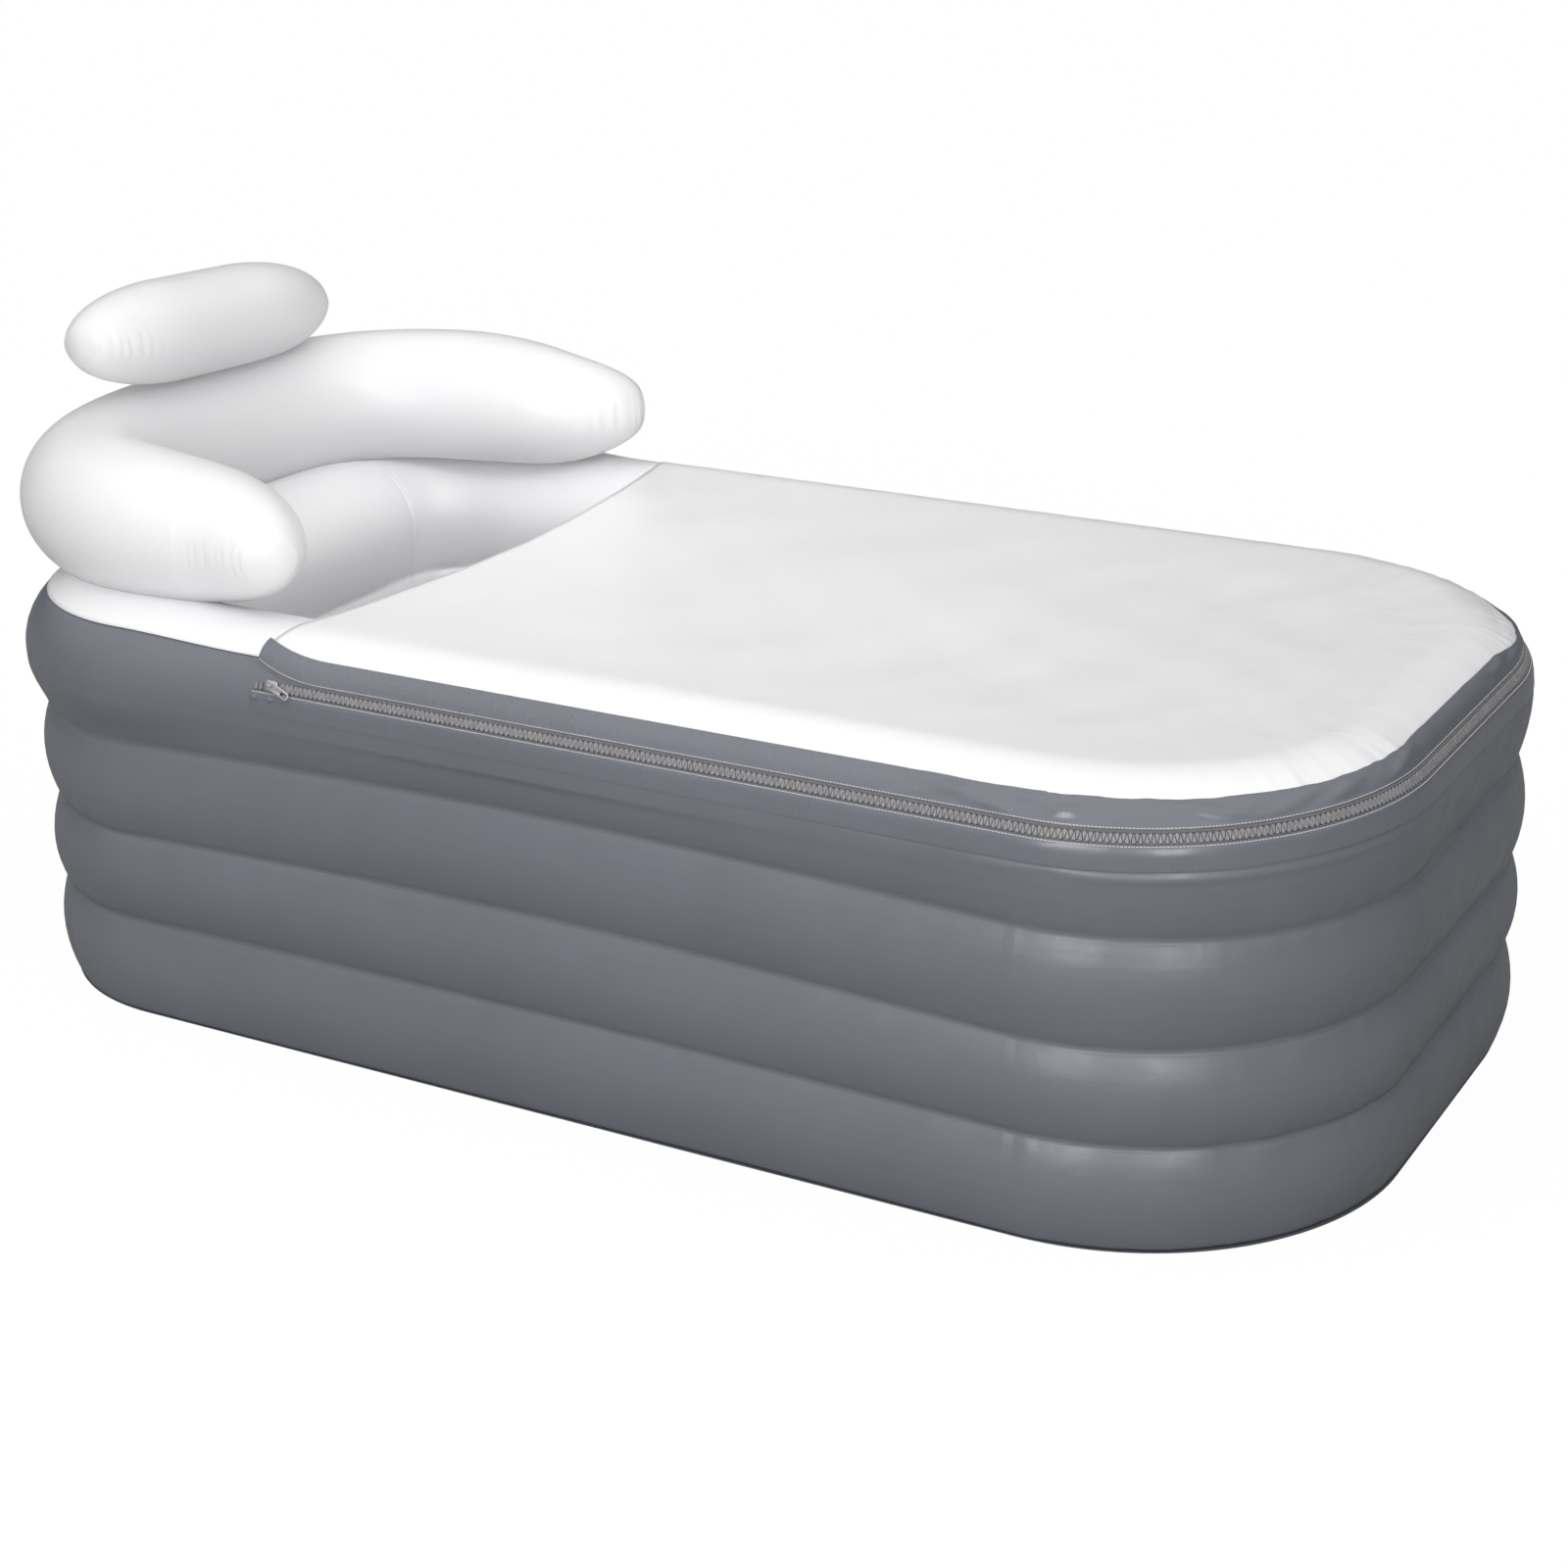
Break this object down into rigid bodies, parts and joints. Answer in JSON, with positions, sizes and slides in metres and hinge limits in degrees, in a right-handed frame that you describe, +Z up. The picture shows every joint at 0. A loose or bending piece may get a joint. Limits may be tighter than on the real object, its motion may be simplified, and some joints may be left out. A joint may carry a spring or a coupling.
{
  "type": "inflatable bathtub",
  "caption": "Rounded rectangular inflatable bathtub of stacked air rings, with a zip-on cover over the foot end, a horseshoe headrest, a head pillow, air valves and a drain.",
  "frame": {"origin": "middle of the base sheet's underside, on the plane that the tub stands on", "axes": "+X towards the foot end (the head end is -X), -Y the side with the zip slider, +Z up"},
  "size_m": [1.6792, 0.8841, 0.7429],
  "materials": {
    "grey_pvc": "satin slate grey PVC sheet",
    "white_pvc": "satin white PVC sheet",
    "valve_pvc": "soft translucent-looking valve PVC, glossy",
    "zip_tape": "woven warm grey zip tape",
    "zip_plastic": "moulded warm grey plastic teeth",
    "zip_metal": "plated zip slider metal"
  },
  "bodies": {
    "tub": {"base_sheet": "grey_pvc", "outer_wall": "grey_pvc", "crest_sheet": "white_pvc", "inner_wall": "white_pvc", "wall_web_1": "grey_pvc", "wall_web_2": "grey_pvc", "wall_web_3": "grey_pvc", "floor_cushion": "white_pvc", "headrest_ring": "white_pvc", "pillow": "white_pvc", "zip_band": "grey_pvc", "zip_tape_lower": "zip_tape", "zip_teeth_lower": "zip_plastic", "zip_retainer_box": "zip_plastic", "wall_valve_seat": "valve_pvc", "headrest_valve_seat": "valve_pvc", "pillow_valve_seat": "valve_pvc", "floor_valve_seat": "valve_pvc", "drain_sleeve": "valve_pvc"},
    "cover": {"cover_panel": "white_pvc", "cover_skirt": "grey_pvc", "zip_tape_upper": "zip_tape", "zip_teeth_upper": "zip_plastic", "zip_insertion_pin": "zip_plastic"},
    "slider": {"zip_slider": "zip_metal"},
    "pull_tab": {"zip_pull_tab": "zip_metal"},
    "wall_stopper": {"wall_valve_stopper": "valve_pvc"},
    "headrest_stopper": {"headrest_valve_stopper": "valve_pvc"},
    "pillow_stopper": {"pillow_valve_stopper": "valve_pvc"},
    "floor_stopper": {"floor_valve_stopper": "valve_pvc"},
    "inner_drain_stopper": {"drain_inner_stopper": "valve_pvc"},
    "outer_drain_stopper": {"drain_outer_stopper": "valve_pvc"}
  },
  "joints": [
    {"name": "cover_lift", "type": "slide", "parent": "tub", "child": "cover", "axis": [0, 0, 1], "range_m": [0, 0.3]},
    {"name": "zip_slide", "type": "slide", "parent": "tub", "child": "slider", "axis": [1, 0, 0], "range_m": [0, 0.8]},
    {"name": "pull_tab_hinge", "type": "hinge", "parent": "slider", "child": "pull_tab", "pos_m": [-0.342, -0.43678, 0.4247], "axis": [-0.342, -0.4356, -0.8326], "range_deg": [0, 160]},
    {"name": "wall_valve_pull", "type": "slide", "parent": "tub", "child": "wall_stopper", "axis": [-1, 0, 0], "range_m": [0, 0.012]},
    {"name": "headrest_valve_pull", "type": "slide", "parent": "tub", "child": "headrest_stopper", "axis": [-1, 0, 0], "range_m": [0, 0.012]},
    {"name": "pillow_valve_pull", "type": "slide", "parent": "tub", "child": "pillow_stopper", "axis": [-1, 0, 0], "range_m": [0, 0.012]},
    {"name": "floor_valve_pull", "type": "slide", "parent": "tub", "child": "floor_stopper", "axis": [0, 0, 1], "range_m": [0, 0.012]},
    {"name": "inner_drain_pull", "type": "slide", "parent": "tub", "child": "inner_drain_stopper", "axis": [1, 0, 0], "range_m": [0, 0.016]},
    {"name": "outer_drain_pull", "type": "slide", "parent": "tub", "child": "outer_drain_stopper", "axis": [-1, 0, 0], "range_m": [0, 0.016]}
  ]
}
